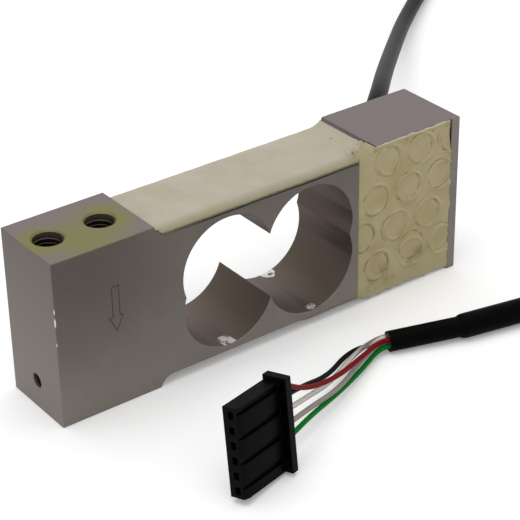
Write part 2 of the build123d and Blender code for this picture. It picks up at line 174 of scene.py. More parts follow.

# The bores are browner, with painted shade by the way each wall faces: darkest on the walls that face the
# live end, palest on those that face the fixed end.
from_middle = add(metal, "ShaderNodeMath", {0: at["X"]}, operation="ABSOLUTE")
sideways = add(metal, "ShaderNodeMath", {0: facing["Y"]}, operation="ABSOLUTE")
bored = zone(
    metal,
    (from_middle.outputs[0], 18.0, 17.9),
    (sideways.outputs[0], 0.6, 0.4),
    (at["Z"], 27.6, 27.4),
    (at["Z"], 2.4, 2.6),
)
bore_shade_ramp = add(metal, "ShaderNodeValToRGB", {"Fac": zone(metal, (facing["X"], -1.0, 1.0))})
bore_shade_ramp.color_ramp.elements[0].color = linear("#5a4e47")
bore_shade_ramp.color_ramp.elements[1].color = linear("#716561")
bore_shade_ramp.color_ramp.elements[1].position = 0.62
bore_shade_ramp.color_ramp.elements.new(0.2).color = linear("#5c5246")
colour = add(metal, "ShaderNodeMix", {
    "Factor": bored,
    "A": colour,
    "B": bore_shade_ramp.outputs["Color"],
}, data_type="RGBA").outputs["Result"]

# Yellow-green bloom round the two tapped holes on top, running out to the front corner. A
# pattern of 4 mm lets its outline wander by about 1 mm.
smear = add(metal, "ShaderNodeTexNoise", {"Vector": place, "Scale": 260.0, "Detail": 3.0})
smear = add(metal, "ShaderNodeVectorMath", {
    0: smear.outputs["Color"],
    1: (0.5, 0.5, 0.5),
}, operation="SUBTRACT")
smear = add(metal, "ShaderNodeVectorMath", {0: smear.outputs["Vector"], "Scale": 4.5}, operation="SCALE")
smeared = add(metal, "ShaderNodeVectorMath", {0: milli, 1: smear.outputs["Vector"]}, operation="ADD")
smeared = smeared.outputs["Vector"]
round_holes = patches(metal, smeared, ((-38.0, -0.6, bar_top), 3.0, 6.2), ((-27.4, 0.2, bar_top), 2.8, 6.4))
between = patches(metal, smeared, ((-32.8, -3.4, bar_top), 3.0, 9.5))
between = add(metal, "ShaderNodeMath", {0: between, 1: 0.85}, operation="MULTIPLY")
bloom = add(metal, "ShaderNodeMath", {0: round_holes, 1: between.outputs[0]}, operation="MAXIMUM")
on_top = zone(metal, (at["Z"], 28.5, 29.0), (facing["Z"], 0.3, 0.6))
colour = stain(metal, colour, "#7b7a40", 0.85, bloom.outputs[0], on_top)

# Painted highlights: bright patches low in each bore, the white floor's reflection there.
# And bare bright nicks on the front left edge, four times as tall as they are wide.
glint_and_bare_metal = "#dcd6d6"
drift = add(metal, "ShaderNodeVectorMath", {0: smear.outputs["Vector"], "Scale": 0.45}, operation="SCALE")
drifted = add(metal, "ShaderNodeVectorMath", {0: milli, 1: drift.outputs["Vector"]}, operation="ADD")
bore_glints = patches(
    metal,
    drifted.outputs["Vector"],
    ((-8.8, -6.3, 3.0), 0.9, 2.1),
    ((9.3, -6.5, 3.1), 0.5, 1.5),
    ((9.9, 6.9, 3.2), 0.7, 1.7),
)
# Painted highlights low in the bores, in the same near-white as the bare nicks.
colour = stain(metal, colour, glint_and_bare_metal, 1.0, zone(metal, (bore_glints, 0.45, 0.6), (mottle, 0.42, 0.47)), bored)
flattened = add(metal, "ShaderNodeVectorMath", {0: milli, 1: (1.0, 1.0, 0.25)}, operation="MULTIPLY")
nicks = [
    ((-41.5, -7.5, height / 4), reach * 0.6, reach)
    for height, reach in ((21.6, 0.16), (19.6, 0.25), (15.6, 0.13))
]
colour = stain(metal, colour, glint_and_bare_metal, 1.0, patches(metal, flattened.outputs["Vector"], *nicks))

# Painted shadow: a dark line on the front, under where the silicone on top hangs over the front
# edge. Its foot is uneven, about 27.9 mm up.
foot = add(metal, "ShaderNodeMath", {0: cloud, 1: -0.5, 2: 28.12}, operation="MULTIPLY_ADD")
above_foot = add(metal, "ShaderNodeMath", {0: at["Z"], 1: foot.outputs[0]}, operation="SUBTRACT")
edge_shadow = zone(
    metal,
    (facing["Y"], -0.8, -0.9),
    (at["X"], -20.0, -12.0),
    (at["X"], 18.85, 18.75),
    (above_foot.outputs[0], -0.06, 0.04),
)
colour = stain(metal, colour, "#1c1915", 0.92, edge_shadow)
metal.node_tree.links.new(colour, shader.inputs["Base Color"])
shader.inputs["Metallic"].default_value = 0.8
shader.inputs["Roughness"].default_value = 0.55

# The cutter's marks are under 0.1 mm apart, too fine to show, so they are drawn 0.4 mm
# apart and 1.6 mm long.
mill_lines = add(metal, "ShaderNodeMapping", {"Vector": place, "Scale": (0.25, 1.0, 1.0)})
mill_grain = add(metal, "ShaderNodeTexNoise", {
    "Vector": mill_lines.outputs["Vector"],
    "Scale": 2500.0,
    "Detail": 3.0,
})
mill_bump = add(metal, "ShaderNodeBump", {
    "Height": mill_grain.outputs["Fac"],
    "Strength": 0.35,
    "Distance": 0.00002,
})
metal.node_tree.links.new(mill_bump.outputs["Normal"], shader.inputs["Normal"])


def copied(name, node):
    """A new piece on a CAD node's shape, its loose triangles joined."""
    bpy.ops.object.select_all(action="DESELECT")
    made = bpy.data.objects.new(name, parts[node].data.copy())
    bpy.context.scene.collection.objects.link(made)
    made.select_set(True)
    bpy.context.view_layer.objects.active = made
    bpy.ops.object.mode_set(mode="EDIT")
    bpy.ops.mesh.select_all(action="SELECT")
    bpy.ops.mesh.remove_doubles(threshold=0.000002)
    bpy.ops.object.mode_set(mode="OBJECT")
    bpy.ops.mesh.customdata_custom_splitnormals_clear()
    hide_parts(node)
    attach(made, "root")
    return made


def finished(piece, modifier):
    """Applies one modifier to a piece."""
    bpy.ops.object.select_all(action="DESELECT")
    piece.select_set(True)
    bpy.context.view_layer.objects.active = piece
    bpy.ops.object.modifier_apply(modifier=modifier.name)


def break_edges(piece, width, bored_axes):
    """A small chamfer on the square edges, but for those of the bored holes, given in millimetres."""
    bpy.ops.object.select_all(action="DESELECT")
    piece.select_set(True)
    bpy.context.view_layer.objects.active = piece
    bpy.ops.object.mode_set(mode="EDIT")
    bpy.ops.mesh.select_all(action="SELECT")
    bpy.ops.mesh.dissolve_degenerate(threshold=0.000005)
    bpy.ops.mesh.select_mode(type="EDGE")
    bpy.ops.mesh.select_all(action="DESELECT")
    shell = bmesh.from_edit_mesh(piece.data)
    for edge in shell.edges:
        middle = (edge.verts[0].co + edge.verts[1].co) / 2 * 1000
        in_hole = False
        for point, direction, reach in bored_axes:
            away = middle - Vector(point)
            away -= away.dot(Vector(direction)) * Vector(direction)
            in_hole = in_hole or away.length < reach
        square = edge.is_manifold and edge.is_convex and edge.calc_face_angle() > math.radians(70)
        edge.select_set(square and not in_hole)
    bmesh.update_edit_mesh(piece.data)
    bpy.ops.mesh.bevel(offset=width, segments=1, affect="EDGES", clamp_overlap=False)
    bpy.ops.object.mode_set(mode="OBJECT")
    bpy.ops.object.shade_smooth_by_angle(angle=math.radians(30))
    # Faces of over 0.4 square millimetres that lie square to the axes stay dead flat.
    for face in piece.data.polygons:
        if max(abs(value) for value in face.normal) > 0.99999 and face.area > 0.0000004:
            face.use_smooth = False


# The bar keeps a strip of metal, 1.2 mm high, over the top edge of the side pocket. The
# bolt threads are given by their places along the bar and the heights of their feet, and
# no edge is broken as near to a hole's axis as its mouth reaches.
lip_middle = (0.03125, -0.0059, 0.0294)
lip_size = (0.0171, 0.0025, 0.0012)
bolt_threads = ((-37.4, 18.4), (-27.9, 18.4), (37.4, 0.5), (27.9, 0.5))
stop_height = 5.2
bolt_mouth = 3.2
stop_mouth = 1.9
bar = copied("milled_bar", "spring_element")
bpy.ops.object.select_all(action="DESELECT")
bpy.ops.mesh.primitive_cube_add(size=1.0, location=lip_middle, scale=lip_size)
lip = bpy.context.object
bpy.ops.object.transform_apply(location=True, rotation=True, scale=True)
pocket_lip = bar.modifiers.new("pocket_lip", "BOOLEAN")
pocket_lip.operation = "UNION"
pocket_lip.object = lip
finished(bar, pocket_lip)
bpy.data.objects.remove(lip)
hole_axes = [((x, 0, 0), (0, 0, 1), bolt_mouth) for x, height in bolt_threads]
hole_axes.append(((0, 0, stop_height), (1, 0, 0), stop_mouth))
break_edges(bar, 0.0001, hole_axes)
bar.data.materials.clear()
bar.data.materials.append(metal)

# The threads: cut with taps, M5 in the four bolt holes and M2.5 in the stop hole. Each is
# one right-handed V-shaped ridge wound down the hole's wall, in a darker copy of the
# bar's metal, painted shade for the dark inside the holes, in clouds of 1 mm.
cut, shader, place = new_material("tapped_thread")
cut_cloud = add(cut, "ShaderNodeTexNoise", {"Vector": place, "Scale": 900.0, "Detail": 3.0})
cut_colour = add(cut, "ShaderNodeValToRGB", {"Fac": cut_cloud.outputs["Fac"]})
cut_colour.color_ramp.elements[0].color = linear("#3c352d")
cut_colour.color_ramp.elements[1].color = linear("#595045")
cut.node_tree.links.new(cut_colour.outputs["Color"], shader.inputs["Base Color"])
shader.inputs["Metallic"].default_value = 0.9
shader.inputs["Roughness"].default_value = 0.35


def thread(name, wall_radius, crest_radius, pitch, turned, place_mm):
    """A V-shaped ridge, 13 turns wound up from the XY plane, then turned and put in its hole."""
    bpy.ops.object.select_all(action="DESELECT")
    bpy.ops.mesh.primitive_circle_add(vertices=3, radius=pitch / 2)
    made = bpy.context.object
    made.name = name
    profile = ((wall_radius, 0.04), (wall_radius, 0.96), (crest_radius, 0.5))
    for vertex, (across, up) in zip(made.data.vertices, profile):
        vertex.co = (across, 0, up * pitch)
    wound = made.modifiers.new("wound", "SCREW")
    wound.angle = math.radians(360)
    wound.screw_offset = pitch
    wound.iterations = 13
    wound.steps = 32
    wound.render_steps = 32
    finished(made, wound)
    bpy.ops.object.mode_set(mode="EDIT")
    bpy.ops.mesh.select_all(action="SELECT")
    bpy.ops.mesh.remove_doubles(threshold=0.000001)
    bpy.ops.mesh.fill_holes(sides=3)
    bpy.ops.mesh.select_all(action="SELECT")
    bpy.ops.mesh.normals_make_consistent(inside=False)
    bpy.ops.object.mode_set(mode="OBJECT")
    made.rotation_euler = turned
    made.location = [value / 1000 for value in place_mm]
    bpy.ops.object.transform_apply(location=True, rotation=True, scale=True)
    made.data.materials.append(cut)
    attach(made, "root")


# Each size's wall radius, crest radius and pitch, in metres. The wall radius is a hair
# under the hole's, so that the two faces don't fight.
m5_thread = (0.002495, 0.0021, 0.0008)
m2_5_thread = (0.001245, 0.00102, 0.00045)
for number, (x, height) in enumerate(bolt_threads, 1):
    thread("bolt_thread_" + str(number), *m5_thread, (0, 0, 0), (x, 0, height))
thread("stop_thread", *m2_5_thread, (0, math.radians(90), 0), (-41.2, 0, stop_height))

# The load arrow: scribed on the front with an engraving cutter, a fine dark outline 0.2 mm
# wide that shows which way the load acts, uneven in clouds of 0.7 mm.
scribed, shader, place = new_material("scribed_line")
scribed_cloud = add(scribed, "ShaderNodeTexNoise", {"Vector": place, "Scale": 1500.0, "Detail": 2.0})
scribed_colour = add(scribed, "ShaderNodeValToRGB", {"Fac": scribed_cloud.outputs["Fac"]})
scribed_colour.color_ramp.elements[0].color = linear("#3d3732")
scribed_colour.color_ramp.elements[1].color = linear("#59524c")
scribed.node_tree.links.new(scribed_colour.outputs["Color"], shader.inputs["Base Color"])
shader.inputs["Metallic"].default_value = 0.5
shader.inputs["Roughness"].default_value = 0.7
bpy.ops.object.select_all(action="DESELECT")
bpy.ops.mesh.primitive_circle_add(vertices=7, radius=0.002, fill_type="NGON")
arrow = bpy.context.object
arrow.name = "load_arrow"
arrow_outline = (
    (-31.15, 22.3), (-31.15, 16.9), (-31.9, 16.9), (-30.45, 13.95),
    (-29.0, 16.9), (-29.65, 16.9), (-29.65, 22.3),
)
# A few thousandths of a millimetre proud of the bar's front, so that it shows.
arrow_front = -7.504
for vertex, (x, z) in zip(arrow.data.vertices, arrow_outline):
    vertex.co = (x / 1000, arrow_front / 1000, z / 1000)
bpy.ops.object.mode_set(mode="EDIT")
bpy.ops.mesh.select_all(action="SELECT")
bpy.ops.mesh.inset(thickness=0.0002, depth=0.0)
bpy.ops.mesh.delete(type="ONLY_FACE")
bpy.ops.mesh.select_all(action="SELECT")
bpy.ops.mesh.normals_make_consistent(inside=False)
bpy.ops.object.mode_set(mode="OBJECT")
if arrow.data.polygons[0].normal.y > 0:
    arrow.data.flip_normals()
arrow.data.materials.append(scribed)
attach(arrow, "root")

# The gauges and what joins them: etched foil on amber film, small bonded terminals, and
# enamelled copper wire, all sealed under the silicone. The foil's lines are drawn 0.2 mm
# apart, twice as coarse as they are, and the solder and enamel are cloudy by 0.5 to 0.8 mm.
film, shader, place = new_material("amber_gauge_film")
foil_lines = add(film, "ShaderNodeTexWave", {"Vector": place, "Scale": 1600.0}, bands_direction="Y")
foil_colour = add(film, "ShaderNodeMix", {
    "Factor": foil_lines.outputs["Fac"],
    "A": linear("#b8792b"),
    "B": linear("#a9a49a"),
}, data_type="RGBA")
film.node_tree.links.new(foil_colour.outputs["Result"], shader.inputs["Base Color"])
shader.inputs["Roughness"].default_value = 0.35
give(
    film,
    "strain_gauge_top_live",
    "strain_gauge_top_fixed",
    "strain_gauge_bottom_live",
    "strain_gauge_bottom_fixed",
)


def uneven_shine(material, shader, cloud, smooth, rough):
    """Lets the roughness follow a cloud pattern from one value to another."""
    level = add(material, "ShaderNodeMapRange", {
        "Value": cloud.outputs["Fac"],
        "To Min": smooth,
        "To Max": rough,
    })
    material.node_tree.links.new(level.outputs["Result"], shader.inputs["Roughness"])


tinned, shader, place = new_material("tinned_terminal")
solder_cloud = add(tinned, "ShaderNodeTexNoise", {"Vector": place, "Scale": 1200.0})
uneven_shine(tinned, shader, solder_cloud, 0.25, 0.5)
shader.inputs["Base Color"].default_value = linear("#a8a49b")
shader.inputs["Metallic"].default_value = 1.0
give(tinned, "solder_terminal_top", "solder_terminal_bottom")

enamel, shader, place = new_material("enamelled_copper")
enamel_cloud = add(enamel, "ShaderNodeTexNoise", {"Vector": place, "Scale": 2000.0})
uneven_shine(enamel, shader, enamel_cloud, 0.2, 0.35)
shader.inputs["Base Color"].default_value = linear("#9a5a30")
shader.inputs["Metallic"].default_value = 0.8
give(enamel, "jumper_wires_top", "jumper_wires_bottom", "gauge_leads_top", "gauge_leads_bottom")

# The compensation board and its chips: green glass-fibre laminate, with a weave of 0.4 mm,
# and thick-film resistors soldered on, cloudy by 0.7 mm, under the pocket's silicone.
laminate, shader, place = new_material("green_laminate")
weave = add(laminate, "ShaderNodeTexChecker", {"Vector": place, "Scale": 2500.0})
weave_bump = add(laminate, "ShaderNodeBump", {
    "Height": weave.outputs["Fac"],
    "Strength": 0.3,
    "Distance": 0.00001,
})
laminate.node_tree.links.new(weave_bump.outputs["Normal"], shader.inputs["Normal"])
shader.inputs["Base Color"].default_value = linear("#1f5b33")
shader.inputs["Roughness"].default_value = 0.35
give(laminate, "compensation_board")

chip, shader, place = new_material("chip_ceramic")
chip_cloud = add(chip, "ShaderNodeTexNoise", {"Vector": place, "Scale": 1500.0})
uneven_shine(chip, shader, chip_cloud, 0.35, 0.6)
shader.inputs["Base Color"].default_value = linear("#1d1d20")
give(chip, "zero_trim_resistor", "span_trim_resistors", "temperature_resistor", "cable_core_tails")

# The silicone over the gauges: a cream one-part rubber, poured in a strip and wiped level
# while soft. It is matt, mottled by 5 mm with pink smudges of 7 mm, with specks of dirt of up
# to 0.3 mm, about one to each 4 mm. Along its front edge, where it rounds down, painted shade
# makes it darker and yellower.
silicone, shader, place = new_material("cream_silicone")
milli, at = measured(silicone, place)
mottle = add(silicone, "ShaderNodeTexNoise", {"Vector": place, "Scale": 220.0, "Detail": 4.0})
cream = add(silicone, "ShaderNodeValToRGB", {"Fac": mottle.outputs["Fac"]})
cream.color_ramp.elements[0].position = 0.3
cream.color_ramp.elements[0].color = linear("#aea691")
cream.color_ramp.elements[1].position = 0.7
cream.color_ramp.elements[1].color = linear("#b8b0a0")
smudge = add(silicone, "ShaderNodeTexNoise", {"Vector": place, "Scale": 150.0, "Detail": 2.0})
smudge = zone(silicone, (smudge.outputs["Fac"], 0.56, 0.75))
colour = stain(silicone, cream.outputs["Color"], "#b7a9a2", 0.5, smudge)
# Painted shade: darker and yellower along the front edge, where the strip rounds down.
colour = stain(silicone, colour, "#8c8768", 0.95, zone(silicone, (at["Y"], -5.2, -7.6)))
cells = add(silicone, "ShaderNodeTexVoronoi", {"Vector": place, "Scale": 260.0})
fine_dirt = zone(silicone, (cells.outputs["Distance"], 0.07, 0.04), (cells.outputs["Color"], 0.54, 0.58))
specks = [
    (centre, reach * 0.4, reach)
    for centre, reach in (
        ((19.8, 1.3, 29.0), 0.3),
        ((-12.4, 2.9, 29.1), 0.22),
        ((-19.4, 3.3, 29.1), 0.2),
        ((-8.1, 4.0, 29.1), 0.16),
        ((-7.6, 3.4, 29.1), 0.16),
        ((3.5, 1.2, 29.1), 0.14),
    )
]
dirt = patches(silicone, milli, *specks)
dirt = add(silicone, "ShaderNodeMath", {0: fine_dirt, 1: dirt}, operation="MAXIMUM")
colour = stain(silicone, colour, "#5e5846", 0.75, dirt.outputs[0])
silicone.node_tree.links.new(colour, shader.inputs["Base Color"])
shader.inputs["Roughness"].default_value = 0.6
shader.inputs["Specular IOR Level"].default_value = 0.3
# Its grain is drawn 1.1 mm across, since the real one of 0.2 mm wouldn't show.
silicone_grain = add(silicone, "ShaderNodeTexNoise", {"Vector": place, "Scale": 900.0, "Detail": 5.0})
silicone_bump = add(silicone, "ShaderNodeBump", {
    "Height": silicone_grain.outputs["Fac"],
    "Strength": 0.4,
    "Distance": 0.00004,
})
silicone.node_tree.links.new(silicone_bump.outputs["Normal"], shader.inputs["Normal"])


def poured(name, node, grid, lumps, seed):
    """A rubber piece on a CAD node's shape: remeshed fine, softened, and made lumpy."""
    made = copied(name, node)
    skin = made.modifiers.new("skin", "REMESH")
    skin.mode = "VOXEL"
    skin.voxel_size = grid
    finished(made, skin)
    soft = made.modifiers.new("soft", "SMOOTH")
    soft.factor = 0.5
    soft.iterations = 2
    finished(made, soft)
    normals = [vertex.normal.copy() for vertex in made.data.vertices]
    for vertex, normal in zip(made.data.vertices, normals):
        spot = vertex.co * 300 + Vector((seed, 0, 0))
        vertex.co += normal * (noise.noise(spot) + 0.35 * noise.noise(spot * 4)) * lumps
    bpy.ops.object.shade_smooth()
    return made


# Along its front edge the strip hangs a little over the bar, and it ends in ragged tags
# where it meets the silicone of the side pocket.
overhang = 0.00016
tag_height = 0.0011
top_strip = poured("gauge_silicone_top", "top_gauge_potting", grid=0.00022, lumps=0.00006, seed=3)
for vertex in top_strip.data.vertices:
    x, y, z = vertex.co * 1000
    ripple = noise.noise(Vector((x * 0.9, 4.2, 0)))
    if y < -6.6:
        out = min((-6.6 - y) / 0.5, 1.0)
        vertex.co.y -= overhang * out * (1 + ripple)
    if x > 16.4 and y < -2.0 and z > 28.5:
        reach = min((x - 16.4) / 2.5, 1.0) * min((-2.0 - y) / 2.0, 1.0)
        rag = max(noise.noise(Vector((x * 1.7, y * 1.7, 1.3))), 0)
        rag += 0.4 * max(noise.noise(Vector((x * 5, y * 5, 6.1))), 0)
        vertex.co.z += tag_height * reach * rag
top_strip.data.materials.clear()
top_strip.data.materials.append(silicone)

# The strip underneath is the same rubber, wiped level with the bar's foot. At its left it
# stays up to 1.4 mm short of the front edge.
held_short = 0.0014
bottom_strip = poured("gauge_silicone_bottom", "bottom_gauge_potting", grid=0.00025, lumps=0.00006, seed=8)
for vertex in bottom_strip.data.vertices:
    x, y, z = vertex.co * 1000
    if y < -5.0:
        held_back = min(max((8.0 - x) / 5.0, 0.0), 1.0)
        vertex.co.y += held_short * held_back * min((-5.0 - y) / 2.5, 1.0)
bottom_strip.data.materials.clear()
bottom_strip.data.materials.append(silicone)

# The silicone in the side pocket: a softer, olive-tinged pour, mottled by 4 mm. A tool
# pressed it flush while it cured, which left ring marks all over its face, with painted
# shade in them where they are deep, and a raised lip along the top, with a painted
# highlight along its edge.
pour, shader, place = new_material("olive_silicone")
milli, at = measured(pour, place)
facing = surface_way(pour)
mottle = add(pour, "ShaderNodeTexNoise", {"Vector": place, "Scale": 240.0, "Detail": 5.0})
olive = add(pour, "ShaderNodeValToRGB", {"Fac": mottle.outputs["Fac"]})
olive.color_ramp.elements[0].position = 0.3
olive.color_ramp.elements[0].color = linear("#bdae7e")
olive.color_ramp.elements[1].position = 0.7
olive.color_ramp.elements[1].color = linear("#cdc096")
# Painted shade in the ring grooves, darker where they are deeper.
pressed = add(pour, "ShaderNodeAttribute", {}, attribute_name="ring_groove_shade")
pressed = zone(pour, (pressed.outputs["Fac"], 0.15, 0.7))
colour = stain(pour, olive.outputs["Color"], "#7f7549", 0.75, pressed)
grime = add(pour, "ShaderNodeTexNoise", {"Vector": place, "Scale": 600.0, "Detail": 4.0})
grime = zone(pour, (grime.outputs["Fac"], 0.42, 0.62))
smudges = patches(
    pour,
    milli,
    ((32.3, -7.3, 5.2), 0.8, 2.6),
    ((24.5, -7.3, 5.4), 0.3, 1.9),
    ((26.4, -7.3, 2.6), 0.3, 1.9),
    ((22.3, -7.3, 3.0), 0.3, 1.9),
)
colour = stain(pour, colour, "#6d6440", 0.6, smudges, grime)
# Painted highlight: a pale line along the top edge of the lip.
colour = stain(pour, colour, "#cfc8ac", 0.7, zone(pour, (at["Z"], 29.6, 29.95), (at["Y"], -7.0, -7.2)))
colour = stain(pour, colour, "#cdc6a4", 0.6, zone(pour, (at["Z"], 2.0, 0.9)))
# Painted shade: the faces that look up at the left end, by the ragged tag, are darker.
colour = stain(pour, colour, "#948b69", 0.75, zone(pour, (at["X"], 23.2, 22.4), (facing["Z"], 0.1, 0.8)))
pour.node_tree.links.new(colour, shader.inputs["Base Color"])
shader.inputs["Roughness"].default_value = 0.5
shader.inputs["Specular IOR Level"].default_value = 0.35
# Its grain is drawn 1.4 mm across, since the real one of 0.2 mm wouldn't show.
pour_grain = add(pour, "ShaderNodeTexNoise", {"Vector": place, "Scale": 700.0, "Detail": 5.0})
pour_bump = add(pour, "ShaderNodeBump", {
    "Height": pour_grain.outputs["Fac"],
    "Strength": 0.5,
    "Distance": 0.00005,
})
pour.node_tree.links.new(pour_bump.outputs["Normal"], shader.inputs["Normal"])

# Twelve ring marks as they lie in the photograph, some of them pressed twice, and each
# broken and uneven in its own way.
ring_radius = 2.72
ring_reach = 3.8
ring_places = (
    (23.1, 6.3), (31.0, 8.0), (37.6, 7.4), (19.7, 13.1), (26.9, 12.9), (34.3, 13.6),
    (22.6, 19.4), (29.9, 20.0), (37.2, 20.2), (25.2, 26.3), (32.5, 26.6), (39.3, 27.0),
)
ring_marks = []
for count, centre in enumerate(ring_places):
    uneven = noise.noise_vector(Vector((count * 3.1, count * 5.7, 0.5)))
    ring_marks.append((centre, ring_radius, 0.85 + 0.5 * uneven.z))
    if count % 2:
        ring_marks.append(((centre[0] + 0.5, centre[1] - 0.4), ring_radius - 0.15, 0.5))

# How far the pour moves is in metres, and where it does is in the bar's millimetres.
groove_depth = 0.00016
burr_height = 0.00007
lip_overhang = 0.00022
lip_rise = 0.00018
foot_ripple = 0.00035
side_width = 0.7
side_lap = 0.0002
side_gap = 0.0005
side_overhang = 0.00012
shelf_height = 28.7
rag_height = 0.0007
rag_limit = 0.0301
side_fill = poured("pocket_silicone", "side_pocket_potting", grid=0.00016, lumps=0.00005, seed=5)
# Each point keeps how deep its ring groove is, for the painted shade in the grooves.
ring_groove_shade = side_fill.data.attributes.new("ring_groove_shade", "FLOAT", "POINT")
depths = []
for vertex in side_fill.data.vertices:
    x, y, z = vertex.co * 1000
    depth = 0.0
    # On the face: the rings, each a groove with a burr outside it, and the lip at the top.
    if y < -6.9:
        for (ring_x, ring_z), radius, strength in ring_marks:
            if abs(x - ring_x) < ring_reach and abs(z - ring_z) < ring_reach:
                away = math.hypot(x - ring_x, z - ring_z)
                broken = 0.55 + 0.9 * noise.noise(Vector((x * 0.8, z * 0.8, ring_x)))
                groove = math.exp(-((away - radius) / 0.15) ** 2) * strength * max(broken, 0)
                burr = math.exp(-((away - radius - 0.3) / 0.16) ** 2) * strength * max(broken, 0)
                depth = max(depth, groove)
                vertex.co.y += groove_depth * groove - burr_height * burr
        if z > 29.2:
            swell = 1 + noise.noise(Vector((x * 0.8, 0, 2.2)))
            vertex.co.y -= lip_overhang * min((z - 29.2) / 0.5, 1.0) * swell
    if z > 29.4 and y < -6.0:
        swell = 1 + noise.noise(Vector((x * 0.7, 1.0, 7.7)))
        vertex.co.z += lip_rise * swell * min((z - 29.4) / 0.4, 1.0)
    if z < 1.2 and y < -6.0:
        vertex.co.z += foot_ripple * max(noise.noise(Vector((x * 0.8, 3.0, 0.7))), -0.8)
    # At the right side: it laps over the bar low down and is drawn back near the top.
    if x > 39.0:
        drawn_back = min(max((z - 23.0) / 4.0, 0.0), 1.0)
        outer = (x - 39.0) / side_width
        swell = 1 + noise.noise(Vector((z * 0.9, 5.0, 1.1)))
        vertex.co.x += (side_lap - side_gap * drawn_back) * outer
        vertex.co.y -= side_overhang * (1 - drawn_back) * swell * outer
    # Behind its lip it stops below the strip of metal, and at the left it ends in a ragged tag.
    if y > -7.12 and z > shelf_height and x > 22.2:
        vertex.co.z = shelf_height / 1000
    if x < 22.6 and z > 28.6:
        rag = noise.noise(Vector((x * 1.1, y * 1.1, 3.3)))
        rag += 0.5 * noise.noise(Vector((x * 3.1, y * 3.1, 9.3)))
        vertex.co.z = min(vertex.co.z + rag_height * rag * min((z - 28.6) / 0.5, 1.0), rag_limit)
    depths.append(depth)
ring_groove_shade.data.foreach_set("value", depths)
side_fill.data.materials.clear()
side_fill.data.materials.append(pour)

# The cable: a round PVC jacket, extruded smooth. It leaves the back of the bar through a
# close hole, slopes to the table and loops round to the front. It is cloudy by 8 mm, and
# its grain of 0.1 mm is drawn 0.6 mm across so that it shows.
jacket_diameter = 0.0035
jacket_points = [
    (37.7, -5.1, 21.5),
    (37.7, 8.5, 21.5),
    (37.7, 12.8, 21.5),
    (46.5, 20.3, 22.6),
    (61.5, 36.3, 17.3),
    (85.2, 60.6, 9.0),
    (105.8, 80.8, 3.2),
    (134.5, 103.0, 1.75),
    (164.5, 105.0, 1.75),
    (188.5, 87.0, 1.75),
    (196.5, 57.0, 1.75),
    (184.5, 27.0, 1.75),
    (157.5, 3.0, 1.75),
    (122.5, -15.0, 1.75),
    (87.5, -28.0, 1.75),
    (54.5, -32.2, 2.15),
    (26.8, -26.4, 2.15),
]


def flexible(name, points, diameter):
    """A round cord on a smooth line: its points in millimetres, its diameter in metres."""
    line = bpy.data.curves.new(name, "CURVE")
    line.dimensions = "3D"
    spline = line.splines.new("NURBS")
    spline.points.add(len(points) - 1)
    for point, (x, y, z) in zip(spline.points, points):
        point.co = (x / 1000, y / 1000, z / 1000, 1)
    spline.order_u = 3
    spline.use_endpoint_u = True
    spline.resolution_u = 16
    line.bevel_depth = diameter / 2
    line.bevel_resolution = 6
    line.use_fill_caps = True
    made = bpy.data.objects.new(name, line)
    bpy.context.scene.collection.objects.link(made)
    return made


sheath, shader, place = new_material("grey_pvc_jacket")
sheath_cloud = add(sheath, "ShaderNodeTexNoise", {"Vector": place, "Scale": 120.0, "Detail": 3.0})
sheath_colour = add(sheath, "ShaderNodeValToRGB", {"Fac": sheath_cloud.outputs["Fac"]})
sheath_colour.color_ramp.elements[0].color = linear("#0d0c0e")
sheath_colour.color_ramp.elements[1].color = linear("#151416")
sheath.node_tree.links.new(sheath_colour.outputs["Color"], shader.inputs["Base Color"])
shader.inputs["Roughness"].default_value = 0.45
shader.inputs["Specular IOR Level"].default_value = 0.06
sheath_grain = add(sheath, "ShaderNodeTexNoise", {"Vector": place, "Scale": 1800.0, "Detail": 3.0})
sheath_bump = add(sheath, "ShaderNodeBump", {
    "Height": sheath_grain.outputs["Fac"],
    "Strength": 0.3,
    "Distance": 0.00002,
})
sheath.node_tree.links.new(sheath_bump.outputs["Normal"], shader.inputs["Normal"])

jacket = flexible("cable_sheath", jacket_points, jacket_diameter)
jacket.data.materials.append(sheath)
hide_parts("cable_jacket")
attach(jacket, "root")

# The shrink sleeve: black polyolefin tube, shrunk hot over the jacket's end and the cores,
# which leaves it slightly wavy by about 2 mm.
shrink, shader, place = new_material("black_polyolefin")
shrink_cloud = add(shrink, "ShaderNodeTexNoise", {"Vector": place, "Scale": 500.0, "Detail": 4.0})
uneven_shine(shrink, shader, shrink_cloud, 0.35, 0.55)
shrink_bump = add(shrink, "ShaderNodeBump", {
    "Height": shrink_cloud.outputs["Fac"],
    "Strength": 0.4,
    "Distance": 0.00006,
})
shrink.node_tree.links.new(shrink_bump.outputs["Normal"], shader.inputs["Normal"])
shader.inputs["Base Color"].default_value = linear("#030303")
shader.inputs["Specular IOR Level"].default_value = 0.03
give(shrink, "heat_shrink_sleeve")

